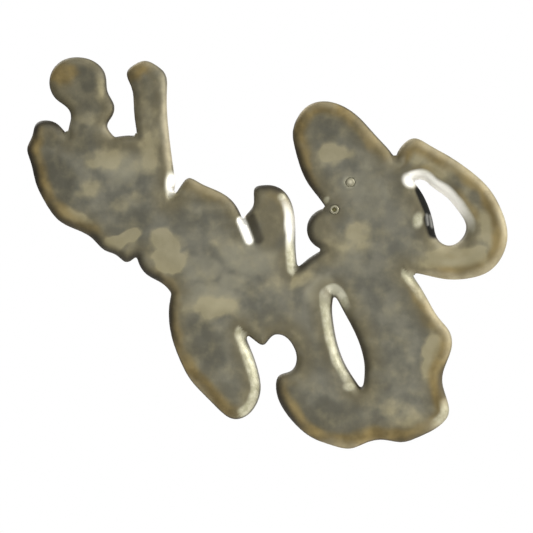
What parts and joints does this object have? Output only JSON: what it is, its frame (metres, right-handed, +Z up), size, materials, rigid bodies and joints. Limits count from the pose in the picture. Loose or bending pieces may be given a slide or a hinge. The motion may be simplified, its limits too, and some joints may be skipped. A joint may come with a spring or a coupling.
{
  "type": "cap badge",
  "caption": "Pierced metal cap badge: a flat-backed scroll-shaped plate with struck leaf mounts, a ribbon loop and finials on its front.",
  "frame": {"origin": "on the flat back face, at the middle of the outline's box", "axes": "+Z up as worn, +Y out of the flat back, so the struck front faces -Y"},
  "size_m": [0.0451, 0.003, 0.0367],
  "materials": {
    "plate_brass": "matte grey tarnish, worn golden-brown at the rim",
    "mount_brass": "aged brass, darkened in the recesses",
    "rivet_metal": "pale worn metal"
  },
  "bodies": {
    "root": {"back_plate": "plate_brass", "bud_finial": "mount_brass", "bar_finial": "mount_brass", "left_leaf": "mount_brass", "middle_leaf": "mount_brass", "foot_leaf": "mount_brass", "stem": "mount_brass", "upper_leaf": "mount_brass", "ribbon_loop": "mount_brass", "lower_leaf": "mount_brass", "berry": "mount_brass", "solid_rivet": "rivet_metal", "tubular_rivet": "rivet_metal"}
  },
  "joints": []
}
